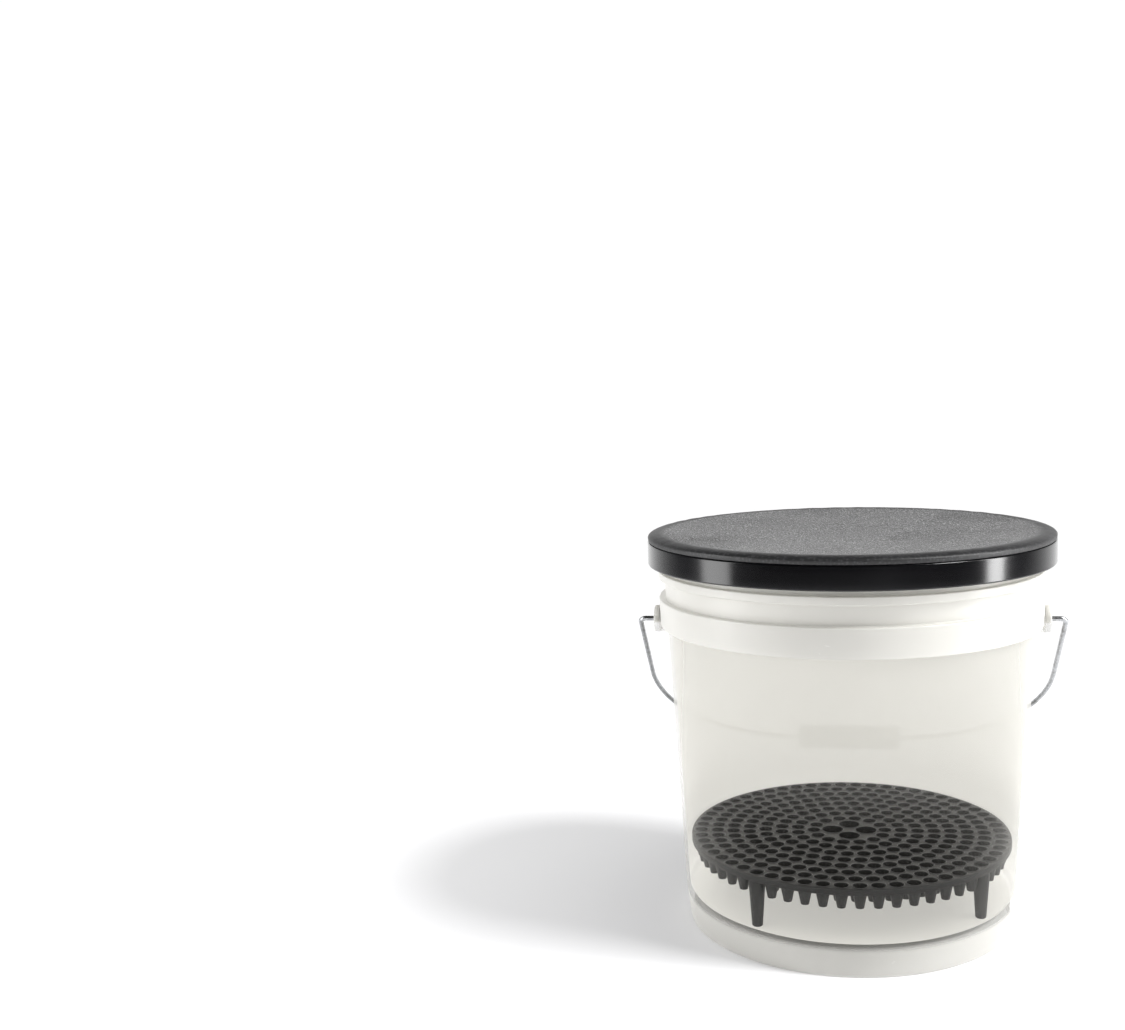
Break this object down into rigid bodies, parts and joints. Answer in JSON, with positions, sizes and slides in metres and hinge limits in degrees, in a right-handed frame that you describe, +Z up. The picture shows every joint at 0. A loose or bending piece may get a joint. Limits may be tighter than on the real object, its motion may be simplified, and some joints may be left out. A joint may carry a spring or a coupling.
{
  "type": "wash bucket",
  "caption": "Tapered translucent wash bucket with a swinging wire bail, a lift-out perforated sediment guard on legs and a round padded seat lid.",
  "frame": {"origin": "middle of the foot, on the ground", "axes": "+Z up; +X through the bail's two ears; +Y to the back, where the bail hangs at rest"},
  "size_m": [0.344, 0.3217, 0.3196],
  "materials": {
    "pail_plastic": "milky translucent moulded plastic",
    "wire": "zinc plated wire",
    "grip_plastic": "satin black",
    "guard_plastic": "dark grey satin, slightly grained",
    "shell_plastic": "glossy black",
    "gasket_rubber": "soft matte black",
    "screw_steel": "zinc plated",
    "board": "raw hardboard",
    "foam": "open-cell foam",
    "cover_vinyl": "coarse grained black vinyl"
  },
  "bodies": {
    "pail": {"pail_wall": "pail_plastic", "pail_floor": "pail_plastic", "pail_foot": "pail_plastic"},
    "bail": {"bail_wire": "wire"},
    "grip": {"grip": "grip_plastic"},
    "guard": {"sediment_guard": "guard_plastic"},
    "lid": {"lid_shell": "shell_plastic", "lid_gasket": "gasket_rubber", "lid_screws": "screw_steel", "lid_washers": "screw_steel", "seat_board": "board", "seat_foam": "foam", "seat_cover": "cover_vinyl", "cover_staples": "screw_steel"}
  },
  "joints": [
    {"name": "lid_lift", "type": "slide", "parent": "pail", "child": "lid", "axis": [0, 0, 1], "range_m": [0, 0.15]},
    {"name": "guard_lift", "type": "slide", "parent": "pail", "child": "guard", "axis": [0, 0, 1], "range_m": [0, 0.2]},
    {"name": "bail_swing", "type": "hinge", "parent": "pail", "child": "bail", "pos_m": [0, 0, 0.246], "axis": [1, 0, 0], "range_deg": [0, 266.4]},
    {"name": "grip_roll", "type": "hinge", "parent": "bail", "child": "grip", "pos_m": [0, 0.15017, 0.10498], "axis": [1, 0, 0], "continuous": true}
  ]
}
